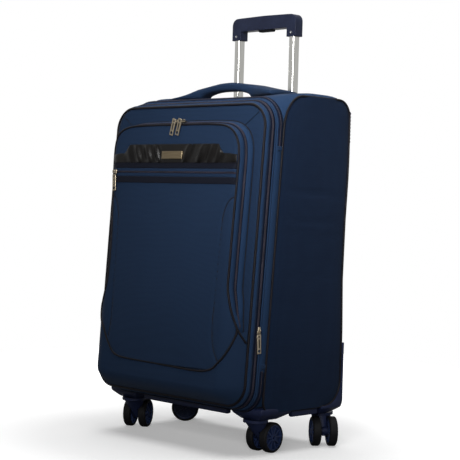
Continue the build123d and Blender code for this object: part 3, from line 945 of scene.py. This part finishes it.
def back_drop(x, y):
    """Rounding of the top edge at the back, which fades under the plastic collar of the tubes."""
    if y <= 71:
        return 0.0
    return (34 - sqrt(max(0.0, 34 ** 2 - (min(y, BACK_Y) - 71) ** 2))) * smooth((abs(x) - 104) / 46)


def near_top(z):
    """How much the shaping of the top counts at a height."""
    return smooth((z - 560) / 100)


def body_ring(y, inset, r, step):
    """Upright section of the body at a Y."""
    ring = rounded(HALF_W - inset, BODY_BOT + inset, BODY_TOP - inset, r, step)
    line = []
    for x, z, u, v in ring:
        high = near_top(z)
        top = z + (crown(x, y) * (1 - (abs(x) / 212) ** 16) - back_drop(x, y) * 0.8) * high
        soft = 0.7 * grain(x * 0.012, z * 0.012, y * 0.02) if abs(v) > 0.5 else 0.0
        line.append((x, y + back_swell(y, z), top + soft * high))
    return line


def body_wrap():
    """Cloth round the body: front gusset, top, bottom and the walls under the side panels."""
    step = 5.0
    rows = []
    for n, inset in ((30.9, 1.6), (31.5, 0.4), (33.5, -0.5), (38, -1.0), (43, -0.6), (46, 0.2), (47, 1.0)):
        rows.append(outline(n, inset, step, 0.6))
    start = outline(47.8, 0.3, step)
    target = body_ring(-20, 0.3, 16, step)
    for k in range(7):
        t = k / 7
        blend = [Vector(a).lerp(Vector(b), t) for a, b in zip(start, target)]
        lift = [crown(p.x, p.y) * smooth((p.z - 640) / 20) * t * (1 - t) for p in blend]
        rows.append([(p.x, p.y, p.z + h) for p, h in zip(blend, lift)])
    plain = [(y, 0.3) for y in (-20, 0, 20, 40, 58, 71, 80)]
    back_edge = [(88, 0.4), (95, 0.7), (100, 1.8), (103, 4.0), (104.6, 7.5), (105, 12)]
    for y, inset in plain + back_edge:
        rows.append(body_ring(y, inset, max(16 - inset, 4), step))
    obj = loft("body_wrap_cloth", rows, GUSSET_CLOTH_LIT, close_cols=True, inside=LINING)
    thicken(facing_out(obj, (0, -10, 370)), 2.6, lined=True)
    cut(obj, *[cube("tube_hole", x - 11.5, x + 11.5, TUBE_Y - 12.5, TUBE_Y + 12.5, 640, 700, LINING)
               for x in (-TUBE_X, TUBE_X)])
    belongs(obj, "case", ["top_panel", "front_gusset"])


def back_skin():
    """Padded back panel inside the rounded back edge."""
    rows = []
    for i in range(71):
        t = i / 70
        z = BODY_BOT + 9 + (BODY_TOP - BODY_BOT - 18) * t
        line = []
        for j in range(53):
            x = 200.0 * (2 * j / 52 - 1)
            edge = min(200 - abs(x), z - BODY_BOT - 9, BODY_TOP - 9 - z)
            drop = back_drop(x, BACK_Y) * near_top(z)
            pad = 1.6 * (1 - exp(-edge / 12)) + 0.8 * grain(x * 0.01, z * 0.012, 2.0)
            line.append((x, BACK_Y - 0.8 + pad + back_swell(BACK_Y, z), z - drop))
        rows.append(line)
    obj = facing(loft("back_panel_cloth", rows, SIDE_CLOTH_SHADED, inside=LINING), (0, 1, 0))
    thicken(obj, 2.6, lined=True)
    belongs(obj, "case", ["back_panel"])
    path = [(x, BACK_Y + 1.2 + back_swell(BACK_Y, z), z - back_drop(x, BACK_Y) * near_top(z))
            for x, z, u, v in rounded(199, BODY_BOT + 10, BODY_TOP - 10, 8, 6.0)]
    belongs(tube("back_piping_cord", path, 1.9, PIPING, closed=True, sides=8), "case")


SIDE_LOW, SIDE_HIGH = BODY_BOT + 1, BODY_TOP - 1.5
# rounded corners of a side panel: length, height, whether at the top, whether at the front
SIDE_CORNERS = (45, 60, True, True), (30, 32, True, False), (20, 24, False, True), (44, 48, False, False)
CREASES = (487, 2.4), (434, 1.9), (409, 1.4), (330, 0.9)   # height and depth of its level creases
CREASE_W = 3.6                   # how far a crease spreads


def side_front(z):
    """Y of the panel's front seam before its corners."""
    return FACE_Y + up(z, BAND) * S + BAND * C


def side_limits(z):
    """Front and back edge of the side panel at a height."""
    y0, y1 = side_front(z), BACK_Y - 2.5 + min(back_swell(104, z), 5.5)
    for length, tall, is_top, is_front in SIDE_CORNERS:
        into = z - (SIDE_HIGH - tall) if is_top else (SIDE_LOW + tall) - z
        if into > 0:
            trim = length * (1 - sqrt(max(0.0, 1 - (min(into, tall) / tall) ** 2)))
            y0, y1 = (y0 + trim, y1) if is_front else (y0, y1 - trim)
    return y0, y1


def side_heights(count):
    """Heights from the bottom to the top of the side panel, closer together near both ends."""
    t = np.linspace(0, 1, count)
    return SIDE_LOW + (SIDE_HIGH - SIDE_LOW) * (t - 0.13 * np.sin(2 * pi * t))


def side_panel(side):
    """Padded side panel with the piping in its seam; side is 1 on the right and -1 on the left."""
    heights = side_heights(150)
    loop = [(side_limits(z)[1], z) for z in heights] + [(side_limits(z)[0], z) for z in heights[::-1]]
    edge_y, edge_z = np.array(loop).T
    rows = []
    for z in heights:
        y0, y1 = side_limits(z)
        line = []
        for j in range(71):
            y = y0 + (y1 - y0) * (0.5 - 0.5 * cos(pi * j / 70)) if j % 70 else (y0 if j == 0 else y1)
            edge = float(np.min(np.hypot(edge_y - y, edge_z - z)))
            pad = 3.4 * (1 - exp(-edge / 9)) + 2.6 * (1 - exp(-edge / 70))
            ripple = 0.55 * grain(y * 0.006, z * 0.035, 9.0) + 0.25 * grain(y * 0.012, z * 0.12, 4.0)
            soft = 1.5 * grain(y * 0.006, z * 0.005, 1.0)
            crease = sum(deep * exp(-((z - at + 0.05 * y) / CREASE_W) ** 2) for at, deep in CREASES)
            x = HALF_W - 0.6 + pad + (ripple + soft - crease) * (1 - exp(-edge / 25))
            line.append((side * x, y, z))
        rows.append(line)
    tag = "right" if side > 0 else "left"
    panel = facing(loft(f"side_panel_{tag}", rows, SIDE_CLOTH_SHADED), (side, 0, 0))
    thicken(panel, 2.0)
    belongs(panel, "case", [f"side_{tag}"])
    path = [(side * (HALF_W + 0.7), y, z) for y, z in even(loop, 5.0)]
    cord = tube(f"side_piping_{tag}", path, 2.1, PIPING, closed=True, sides=8)
    belongs(cord, "case", ["side_piping"] if side > 0 else ())


def even(loop, step):
    """Closed loop of points at an even spacing."""
    pts = np.array(loop + [loop[0]], float)
    gaps = np.hypot(*np.diff(pts, axis=0).T)
    keep = np.concatenate([[True], gaps > 1e-6])
    pts, along = pts[keep], np.concatenate([[0], np.cumsum(gaps[gaps > 1e-6])])
    places = np.arange(0, along[-1] - step / 2, step)
    return list(zip(np.interp(places, along, pts[:, 0]), np.interp(places, along, pts[:, 1])))


def expansion_trim():
    """Expansion zip where it shows round the corners."""
    section = [(33.0, 0.2), (33.6, -1.0), (35.6, -1.9), (37.2, -0.9), (38.2, -0.5), (39.2, -0.9),
               (41.2, -1.9), (43.2, -1.6), (44.6, -0.9), (45.2, 0.2), (39.0, 0.8)]
    middle = 38.2
    for tag, zone in (("upper", lambda z: z > 570), ("lower", lambda z: z < 162)):
        rows = [[p for p in outline(n, inset, 5.0) if zone(p[2] + n * S)] for n, inset in section]
        rows = [line_from_left(r) for r in equal(rows)]
        tape = loft(f"expansion_tape_{tag}", rows, TAPE, close_rows=True, caps=True)
        belongs(tape, "case")
        path = line_from_left([p for p in outline(middle, -1.3, COIL_STEP) if zone(p[2] + middle * S)])
        belongs(coil(f"expansion_coil_{tag}", path, 0.95), "case")


def folded_tabs():
    """Folded fabric tabs that the expansion zip runs under, each with two rows of stitches."""
    pieces = []
    for z in (566.0, 166.0):
        for side in (1, -1):
            rows = []
            for i in range(9):
                a = pi * i / 8
                line = []
                for k in range(9):
                    n = 33.5 + 11.4 * k / 8
                    w = up(z, n) + 5.0 * cos(a)
                    line.append(front(side * (HALF_W - 0.8 + 3.0 * sqrt(max(sin(a), 0.0))), w, n))
                rows.append(line)
            pieces.append(thicken(facing(loft("fabric_tab", rows, GUSSET_CLOTH_LIT), (side, 0, 0)), 1.0))
            for dw in (-2.6, 2.6):
                for k in range(4):
                    n = 34.6 + 2.9 * k
                    path = [front(side * (HALF_W + 2.1), up(z, n) + dw, n + q) for q in (0, 0.9, 1.9)]
                    pieces.append(tube("stitch", path, 0.4, THREAD_AND_SEAM_SHADE, sides=5))
    belongs(join("folded_tabs", pieces), "case", ["fabric_tabs"])


def carry_handle():
    """Padded top handle with wide wings sewn to the top of the case."""
    rows = []
    for i in range(81):
        x = -148 + 296 * i / 80
        a = abs(x)
        arch = 700.0 - 21.0 * (abs(x - 9) / 143) ** 1.5 - 8.5 * smooth((-70 - x) / 50)
        gap = 683.0 - 11.0 * (a / 70) ** 3 if a < 70 else 669.0
        half = 17.0 + 21.0 * smooth((a - 62) / 78)
        thick = max(arch - gap, 3.0)
        line = []
        for k in range(24):
            t = 2 * pi * k / 24
            cy, cz = cos(t), sin(t)
            shape_y = half * (abs(cy) ** 0.55) * (1 if cy > 0 else -1)
            shape_z = thick / 2 * (abs(cz) ** 0.75) * (1 if cz > 0 else -1)
            pad = 0.8 * grain(x * 0.03, shape_y * 0.05, 6.0) if cz > 0 else 0.0
            line.append((x, HANDLE_Y + shape_y, arch - thick / 2 + shape_z + pad))
        rows.append(line)
    obj = loft("carry_handle_padded", rows, POLYESTER, close_cols=True, caps=True)
    belongs(obj, "case", ["carry_handle"])


# ------------------------------------------------ zip sliders and pulls
def pull_tab(name, length):
    """Cast pull tab hanging down -Y from its hinge end at the origin, flat on XY, in row metres."""
    tab = cube(name, -5.0, 5.0, -length, 0, 0, 1.7, BRONZE)
    round_all(tab, 2.4, 4)
    cut(tab, cylinder("hinge_hole", (0, -4.6, 0.8), 2.0, 6, BRONZE),
        cylinder("end_hole", (0, -length + 5.4, 0.8), 3.0, 6, BRONZE),
        cube("slot", -1.4, 1.4, -length + 10.5, -9.0, -2, 4, BRONZE))
    return to_row_origin(soften(tab, 0.25, 2, 40))


def slider_body(name):
    """Zip slider: hull with a nose and an arched bridge that holds the pull."""
    hull = cube(name, -4.5, 4.5, -6.5, 6.5, 0.2, 3.2, BRONZE)
    pick(hull, lambda c, n: n.y > 0.9)
    bpy.ops.transform.resize(value=(0.6, 1, 1))
    done()
    soften(hull, 0.9, 3)
    bpy.ops.object.select_all(action="DESELECT")
    bpy.ops.mesh.primitive_torus_add(major_segments=24, minor_segments=8, major_radius=3.4 * MM,
                                     minor_radius=0.9 * MM, location=row((0, -0.5, 2.6)),
                                     rotation=(0, radians(90), 0))
    bridge = new_piece("bridge", BRONZE)
    for p in bridge.data.polygons:
        p.use_smooth = True
    return to_row_origin(join(name, [hull, bridge]))


def frame_of(origin, x_way, z_way):
    """Placement with its origin at a working point and its X and Z along given ways."""
    x = Vector(x_way).normalized()
    z = Vector(z_way).normalized()
    y = z.cross(x)
    turn = Matrix((x, y, z)).transposed().to_4x4()
    return Matrix.Translation(row(origin)) @ turn


def step_mm(x, y, z):
    """Move by so many mm."""
    return Matrix.Translation(Vector((x, y, z)) * MM)


def spin(degrees, axis):
    """Turn about an axis through the origin."""
    return Matrix.Rotation(radians(degrees), 4, axis)


def zip_hardware():
    """Every slider and pull, placed where the CAD places them."""
    slider = slider_body("slider_model")
    pulls = {length: pull_tab(f"pull_model_{length}", length) for length in (36, 40, 33)}
    side = frame_of(front(HALF_W + 0.2, up(234.0, LID_SEAM), LID_SEAM), (0, C, -S), (1, 0, 0))
    belongs(copy_to(slider, "main_zip_slider", side), "main_slider", ["main_slider"])
    belongs(copy_to(pulls[36], "main_zip_pull", side @ step_mm(0, -7.0, 1.6) @ spin(7, "Z")), "main_pull",
            ["main_pull"])
    left = frame_of(front(-HALF_W - 0.2, up(430.0, EXP_SEAM), EXP_SEAM), (0, -C, S), (-1, 0, 0))
    low = Matrix.Diagonal((1, 1, 0.55, 1))
    pull = copy_to(pulls[40], "expansion_pull", left @ step_mm(0, -7.0, 0.6) @ low)
    both = join("expansion_zip_slider", [copy_to(slider, "expansion_hull", left @ low), pull])
    belongs(both, "expansion_slider", ["expansion_slider"])
    zip_top = up(POCKET_TOP - 6.1, -16) + 4.2
    for tag, x in (("left", -4.5), ("right", 11.5)):
        seat = frame_of(front(x - 4, zip_top - 1.0, -17.0), (0, C, -S), (0, S, C))
        belongs(copy_to(slider, f"pocket_zip_slider_{tag}", seat), f"pocket_slider_{tag}",
                [f"pocket_slider_{tag}"])
        hang = frame_of(front(x + 7, zip_top + 4.4, -35.2), (1, 0, 0), (0, -C, S))
        hang = hang @ spin(4, "X") @ spin(-16.0, "Z")
        arm = to_row_origin(cube(f"arm_{tag}", -1.8, 1.8, -0.8, 0.8, -6.6, 6.6, BRONZE))
        arm.data.transform(frame_of(front(x + 5, zip_top + 2.6, -29.6), (1, 0, 0), (0, -C, S)))
        soften(arm, 0.5, 2)
        both = join(f"pocket_zip_pull_{tag}", [copy_to(pulls[33], f"hanging_{tag}", hang), arm])
        belongs(both, f"pocket_pull_{tag}", [f"pocket_pull_{tag}"])
    seat = frame_of(front(-162, up(519, SKIN), SKIN - 1.8), (1, 0, 0), (0, -C, S))
    belongs(copy_to(slider, "upper_zip_slider", seat @ spin(90, "Z")), "upper_slider", ["upper_slider"])
    belongs(copy_to(pulls[33], "upper_zip_pull", seat @ step_mm(0, -5.4, 2.0) @ spin(6, "Z")), "upper_pull",
            ["upper_pull"])
    for model in [slider, *pulls.values()]:
        bpy.data.objects.remove(model)


# ------------------------------------------------ telescopic handle
def grip():
    """Moulded grip: a crossbar with two legs, rounded all over, and its screws."""
    near = 0.001                 # how closely a place has to agree, mm
    bar = cube("telescopic_grip", -GRIP_HALF, GRIP_HALF, TUBE_Y - 10.5, TUBE_Y + 10.5, GRIP_LOW, GRIP_HIGH,
               GRIP_PLASTIC)
    pick(bar, lambda c, n: True)
    bpy.ops.mesh.bisect(plane_co=row((-GRIP_LEG, 0, 0)), plane_no=(1, 0, 0))
    bpy.ops.mesh.select_all(action="SELECT")
    bpy.ops.mesh.bisect(plane_co=row((GRIP_LEG, 0, 0)), plane_no=(1, 0, 0))
    done()
    pick(bar, lambda c, n: n.z < -0.9 and abs(c.x) > GRIP_LEG)
    bpy.ops.mesh.extrude_region_move(TRANSFORM_OT_translate={"value": (0, 0, -18 * MM)})
    done()
    round_some(bar, lambda p: abs(abs(p.x) - GRIP_HALF) < near and p.z > GRIP_HIGH - 1, 14, 8)
    round_some(bar, lambda p: abs(abs(p.x) - GRIP_LEG) < near and abs(p.z - GRIP_LOW) < near, 9, 6)
    apply(bar, "SUBSURF", levels=1, render_levels=1, subdivision_type="SIMPLE")
    soften(bar, 4.0, 4, 50)
    for v in bar.data.vertices:
        if v.co.z > 826 * MM:
            v.co.z += 2.0 * MM * (1 - (v.co.x / (GRIP_HALF * MM)) ** 2)
    belongs(bar, "top_stage", ["grip"])
    screws = []
    for x in (-TUBE_X, TUBE_X):
        head = cylinder(f"screw_{x}", (x, TUBE_Y - 10.6, 805), 2.6, 1.4, STEEL, (90, 0, 0), 20)
        cut(head, cube("slot_a", x - 1.8, x + 1.8, TUBE_Y - 12, TUBE_Y - 10.8, 804.6, 805.4, STEEL),
            cube("slot_b", x - 0.4, x + 0.4, TUBE_Y - 12, TUBE_Y - 10.8, 803.2, 806.8, STEEL))
        screws.append(soften(head, 0.2, 2))
    belongs(join("grip_screw_heads", screws), "top_stage", ["grip_screws"])


# ------------------------------------------------ guards
def corner_guards():
    """Moulded corner guards with the caster seats; the rear ones run up the back edge."""
    for tag, x0, y0, y1, seat_y in (("front", 134.0, -117.0, -34.0, CASTER_FRONT),
                                    ("rear", 122.0, 48.0, 108.5, CASTER_REAR)):
        skirt = cube(f"corner_guard_{tag}_right", x0, 213, y0, y1, 76, 88, MOULDING)
        pick(skirt, lambda c, n: n.z < -0.9)
        bpy.ops.mesh.extrude_region_move(TRANSFORM_OT_translate={"value": (0, 0, -12 * MM)})
        centre = row((CASTER_X, seat_y, 64))
        bpy.ops.transform.resize(value=(0.6, 46 / (y1 - y0), 1), center_override=centre)
        done()
        if tag == "rear":
            wall = cube("wall", 186, 213.6, 50, 108.5, 77, 200, MOULDING)
            room = cube("room", 100, 240, -60, 103.5, SIDE_LOW + 0.5, 400, MOULDING)
            round_some(room, lambda p: p.y > 100 and p.z < 100, 45, 14)
            cut(skirt, wall, how="UNION")
            corner = cube("corner", 100, 240, 82, 130, 60, 94, MOULDING)
            cut(corner, cylinder("arc", (170, 81.6, 92), 27, 200, MOULDING, (0, 90, 0), 48))
            cut(skirt, room, corner)
        soften(skirt, 3.0, 3, 35)
        belongs(skirt, "case", ["corner_guards"] if tag == "front" else ())
        mirror = Matrix.Scale(-1, 4, (1, 0, 0))
        belongs(copy_to(skirt, f"corner_guard_{tag}_left", mirror), "case")


def ribbed_guard():
    """Guard across the top of the back: nine level ribs on a plate, bowed as the back is."""
    rib = cylinder("rib", (0, BACK_Y + 9, 588.5), 3.3, 410, MOULDING, (0, 90, 0), 20)
    apply(rib, "ARRAY", count=9, use_relative_offset=False, use_constant_offset=True,
          constant_offset_displace=(0, 0, 6.8 * MM))
    plate = cube("plate", -206, 206, BACK_Y + 1, BACK_Y + 10, 583, 648, MOULDING)
    soften(plate, 2.5, 3)
    ribbed = join("ribbed_back_guard", [plate, shade(rib, 50)])
    for v in ribbed.data.vertices:
        across = abs(v.co.x) / (206 * MM)
        v.co.y += (4.5 - 3.0 * across ** 4) * MM
    belongs(ribbed, "case", ["ribbed_guard"])


def finish_cad_nodes():
    """The CAD nodes whose shape is right get their material."""
    looks = {
        MOULDING: ["base_rails", "top_bezel", "caster_housings"],
        BLACK_NYLON: ["trolley_tray", "grip_button"],
        STEEL: ["swivel_pins", "outer_tubes", "handle_plates"],
        ALUMINIUM: ["middle_tubes", "inner_tubes"],
        LINING: ["bottom_board", "packing_straps"],
        HUB_PLASTIC: [],
        TYRE: [],
    }
    for name in ("fl", "fr", "rl", "rr"):
        looks[MOULDING].append(f"caster_{name}_fork")
        looks[HUB_PLASTIC].append(f"caster_{name}_hubs")
        looks[TYRE].append(f"caster_{name}_tyres")
    for material, names in looks.items():
        for name in names:
            mesh = NODES[name].data
            mesh.materials.clear()
            mesh.materials.append(material)


# ------------------------------------------------ studio
LENS = 109.33                    # mm, for a frame 36 mm wide
CAMERA_PLACE = (1.9633, -1.9246, 0.4710)
AZIMUTH, ELEVATION, ROLL = radians(45.048), radians(1.266), radians(1.656)


def seen_by_camera(tree, ray):
    """Whether a ray is the camera's own, straight or through something clear."""
    return add(tree, "ShaderNodeMath", {0: ray["Is Camera Ray"], 1: ray["Is Transmission Ray"]},
               operation="MAXIMUM").outputs[0]


def studio_floor():
    """Pale paper floor: for the camera it glows white away from the case and less near it, a painted shadow
    round the case; for other rays it stays dull.
    """
    bpy.ops.object.select_all(action="DESELECT")
    bpy.ops.mesh.primitive_plane_add(size=2.8, location=(0, 0, 0))
    floor = bpy.context.object
    floor.name = "studio_floor"
    mat = bpy.data.materials.new("studio_paper")
    mat.use_nodes = True
    tree = mat.node_tree
    paper = tree.nodes["Principled BSDF"]
    paper.inputs["Base Color"].default_value = (0.95, 0.95, 0.95, 1)
    paper.inputs["Roughness"].default_value = 0.9
    seen = seen_by_camera(tree, add(tree, "ShaderNodeLightPath").outputs)
    place = add(tree, "ShaderNodeTexCoord").outputs["Object"]
    # The glow is weakest near the case and full a metre out: painted shadow, over the real shadow from the
    # floor lamp.
    away = add(tree, "ShaderNodeVectorMath", {0: place}, operation="LENGTH").outputs["Value"]
    level = add(tree, "ShaderNodeMapRange", {"Value": away, "From Min": 0.32, "From Max": 1.0, "To Min": 0.3,
                                             "To Max": 1.0}).outputs[0]
    glow = add(tree, "ShaderNodeEmission", {"Color": (1, 1, 1, 1), "Strength": level}).outputs[0]
    both = add(tree, "ShaderNodeAddShader", {0: paper.outputs[0], 1: glow}).outputs[0]
    dull = add(tree, "ShaderNodeBsdfDiffuse", {"Color": (0.3, 0.3, 0.3, 1)}).outputs[0]
    mixed = add(tree, "ShaderNodeMixShader", {0: seen, 1: dull, 2: both}).outputs[0]
    tree.links.new(mixed, tree.nodes["Material Output"].inputs["Surface"])
    floor.data.materials.append(mat)


def backdrop():
    """White behind the case for the camera, a dim glow for reflections and next to nothing for light."""
    world = bpy.data.worlds.new("studio")
    bpy.context.scene.world = world
    world.use_nodes = True
    tree = world.node_tree
    tree.nodes.clear()
    ray = add(tree, "ShaderNodeLightPath").outputs
    seen = seen_by_camera(tree, ray)
    shiny = add(tree, "ShaderNodeMath", {0: ray["Is Glossy Ray"], 1: 0.55}, operation="MULTIPLY").outputs[0]
    level = add(tree, "ShaderNodeMath", {0: shiny, 1: 0.04}, operation="ADD").outputs[0]
    dim = add(tree, "ShaderNodeBackground", {"Color": (1, 1, 1, 1), "Strength": level}).outputs[0]
    white = add(tree, "ShaderNodeBackground", {"Color": (1, 1, 1, 1), "Strength": 1.0}).outputs[0]
    mixed = add(tree, "ShaderNodeMixShader", {0: seen, 1: dim, 2: white}).outputs[0]
    out = add(tree, "ShaderNodeOutputWorld")
    tree.links.new(mixed, out.inputs["Surface"])


def lamps():
    """Two soft lamps from the front right, high and low, and a wide one above for the floor."""
    for name, place, aim, size, power, spread in (
            ("key_lamp", (1.0, -1.6, 1.5), (0.38, -0.1, 0.95), 0.8, 3.2, 36),
            ("low_lamp", (1.5, -1.5, 0.9), (0.34, -0.14, 0.64), 0.8, 2.2, 44),
            ("floor_lamp", (0, 0, 4.5), (0, 0, 0), 4.0, 150, 180)):
        data = bpy.data.lights.new(name, "AREA")
        data.size = size
        data.energy = power
        data.spread = radians(spread)
        lamp = bpy.data.objects.new(name, data)
        bpy.context.collection.objects.link(lamp)
        lamp.location = place
        lamp.rotation_euler = (Vector(aim) - Vector(place)).to_track_quat("-Z", "Y").to_euler()


def camera():
    """Camera off the front right corner, about level with the middle of the case."""
    back = Vector((sin(AZIMUTH) * cos(ELEVATION), -cos(AZIMUTH) * cos(ELEVATION), sin(ELEVATION)))
    right = Vector((cos(AZIMUTH), sin(AZIMUTH), 0))
    upward = back.cross(right)
    data = bpy.data.cameras.new("camera")
    data.sensor_width = 36
    data.lens = LENS
    view = bpy.data.objects.new("camera", data)
    bpy.context.collection.objects.link(view)
    x_way = cos(ROLL) * right + sin(ROLL) * upward
    y_way = -sin(ROLL) * right + cos(ROLL) * upward
    turn = Matrix((x_way, y_way, back)).transposed().to_4x4()
    view.matrix_world = Matrix.Translation(CAMERA_PLACE) @ turn
    bpy.context.scene.camera = view
    bpy.context.scene.view_settings.view_transform = "Standard"


studio_floor()
backdrop()
lamps()
camera()
lid_face()
lid_bands()
pocket_face()
pocket_walls()
pocket_zip()
pocket_low_front()
face_seams()
ribbons_and_upper_zip()
gathered_strip()
bare_plate()
border_seams()
body_wrap()
back_skin()
for side in (1, -1):
    side_panel(side)
expansion_trim()
folded_tabs()
carry_handle()
zip_hardware()
grip()
corner_guards()
ribbed_guard()
finish_cad_nodes()
